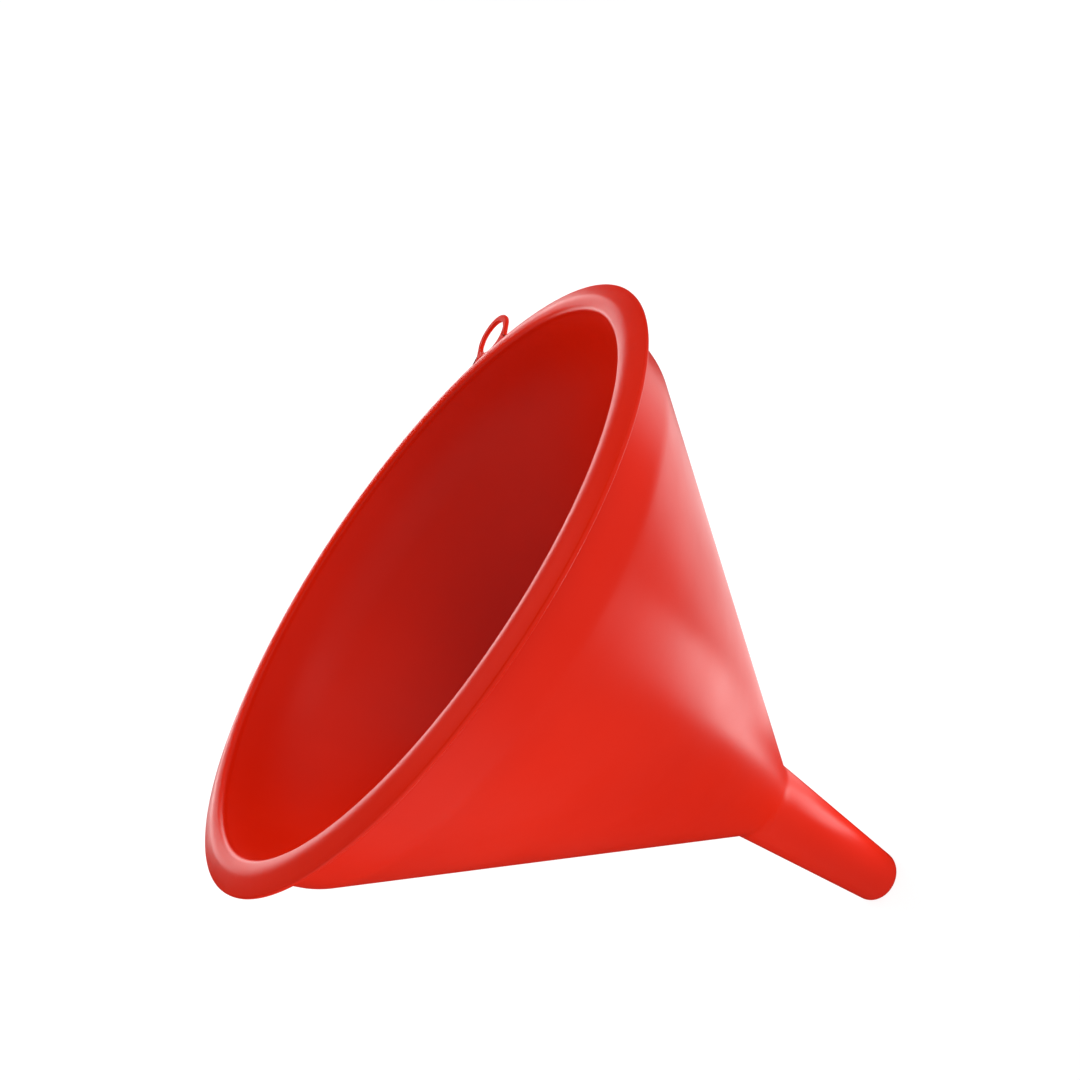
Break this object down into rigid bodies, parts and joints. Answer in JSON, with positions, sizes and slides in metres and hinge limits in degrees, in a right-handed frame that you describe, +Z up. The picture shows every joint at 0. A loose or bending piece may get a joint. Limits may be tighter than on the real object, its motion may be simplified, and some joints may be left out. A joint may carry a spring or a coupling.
{
  "type": "funnel",
  "caption": "Wide-mouthed conical pouring funnel with a flanged rim, short straight collar, tapered spout and a hanging tab with a round hole.",
  "frame": {"origin": "on the funnel's axis at the neck, where the lines of the cone and of the spout meet; this is where a vessel's neck holds it", "axes": "+Z up along the funnel's axis, mouth up and spout down; the hanging tab points 38.7 degrees from +X towards +Y"},
  "size_m": [0.1596, 0.1596, 0.1719],
  "materials": {
    "red_plastic": "gloss"
  },
  "bodies": {
    "root": {"rim_flange": "red_plastic", "collar": "red_plastic", "bowl_cone": "red_plastic", "neck": "red_plastic", "spout": "red_plastic", "hang_tab": "red_plastic"}
  },
  "joints": []
}
